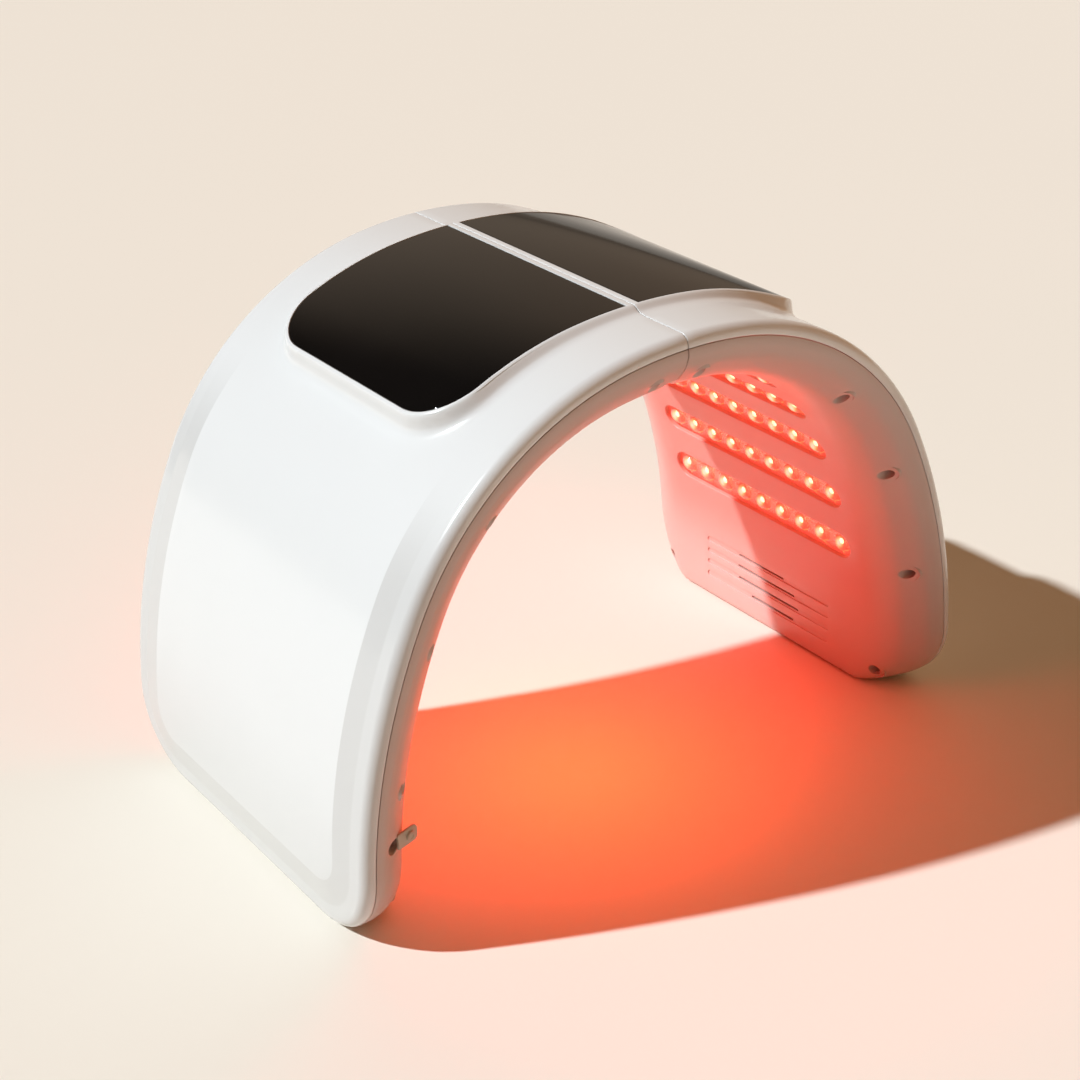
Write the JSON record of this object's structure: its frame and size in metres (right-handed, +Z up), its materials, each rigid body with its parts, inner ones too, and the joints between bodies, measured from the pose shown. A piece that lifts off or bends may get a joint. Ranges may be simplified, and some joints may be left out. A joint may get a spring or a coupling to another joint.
{
  "type": "folding led light therapy arch",
  "caption": "Free-standing folding arch for light care: two curved white half shells hinged at the crown, dark panels on top, rows of red light domes inside.",
  "frame": {"origin": "on the surface it stands on, at the centre of the bounding box in X and Y", "axes": "+X runs across the arch towards the right foot, -Y is the front, +Z is up"},
  "size_m": [0.3544, 0.213, 0.2464],
  "materials": {
    "gloss_white": "smooth gloss white moulding",
    "satin_white": "satin white moulding with a slight sheen",
    "dark_gloss": "polished brown-black, almost mirror smooth",
    "clear_lens": "clear polished lens, lit red from behind",
    "board_white": "white solder mask on a flexible circuit board",
    "board_green": "green solder mask",
    "plated_steel": "nickel-plated steel",
    "black_moulding": "fine matt black moulding",
    "grey_rubber": "soft matt warm grey rubber",
    "wire_sleeve": "dull grey sleeve round a bundle of thin wires"
  },
  "bodies": {
    "left_half": {"left_case_screw_01": "plated_steel", "left_case_screw_02": "plated_steel", "left_case_screw_03": "plated_steel", "left_case_screw_04": "plated_steel", "left_case_screw_05": "plated_steel", "left_case_screw_06": "plated_steel", "left_case_screw_07": "plated_steel", "left_case_screw_08": "plated_steel", "left_case_screw_09": "plated_steel", "left_case_screw_10": "plated_steel", "left_control_panel": "dark_gloss", "left_inner_cover": "satin_white", "left_lens_strip_1": "clear_lens", "left_lens_strip_2": "clear_lens", "left_lens_strip_3": "clear_lens", "left_lens_strip_4": "clear_lens", "left_lens_strip_5": "clear_lens", "left_lens_strip_6": "clear_lens", "left_lens_strip_7": "clear_lens", "left_light_board": "board_white", "left_outer_shell": "gloss_white", "left_wire_bundle": "wire_sleeve", "front_hinge_left_leaf": "plated_steel", "rear_hinge_left_leaf": "plated_steel", "front_hinge_pin": "plated_steel", "rear_hinge_pin": "plated_steel", "power_jack": "black_moulding", "control_board": "board_green", "touch_board": "board_green"},
    "right_half": {"right_case_screw_01": "plated_steel", "right_case_screw_02": "plated_steel", "right_case_screw_03": "plated_steel", "right_case_screw_04": "plated_steel", "right_case_screw_05": "plated_steel", "right_case_screw_06": "plated_steel", "right_case_screw_07": "plated_steel", "right_case_screw_08": "plated_steel", "right_case_screw_09": "plated_steel", "right_case_screw_10": "plated_steel", "right_inner_cover": "satin_white", "right_lens_strip_1": "clear_lens", "right_lens_strip_2": "clear_lens", "right_lens_strip_3": "clear_lens", "right_lens_strip_4": "clear_lens", "right_lens_strip_5": "clear_lens", "right_lens_strip_6": "clear_lens", "right_lens_strip_7": "clear_lens", "right_light_board": "board_white", "right_outer_shell": "gloss_white", "right_trim_panel": "dark_gloss", "right_wire_bundle": "wire_sleeve", "front_hinge_right_leaf": "plated_steel", "rear_hinge_right_leaf": "plated_steel"},
    "flap": {"jack_flap": "grey_rubber"}
  },
  "joints": [
    {"name": "fold", "type": "hinge", "parent": "left_half", "child": "right_half", "pos_m": [0, 0, 0.21986], "axis": [0, 1, 0], "range_deg": [0, 66]},
    {"name": "flap_turn", "type": "hinge", "parent": "left_half", "child": "flap", "pos_m": [-0.1531, -0.1016, 0.0517], "axis": [0, 0, 1], "range_deg": [-145, 0]}
  ]
}
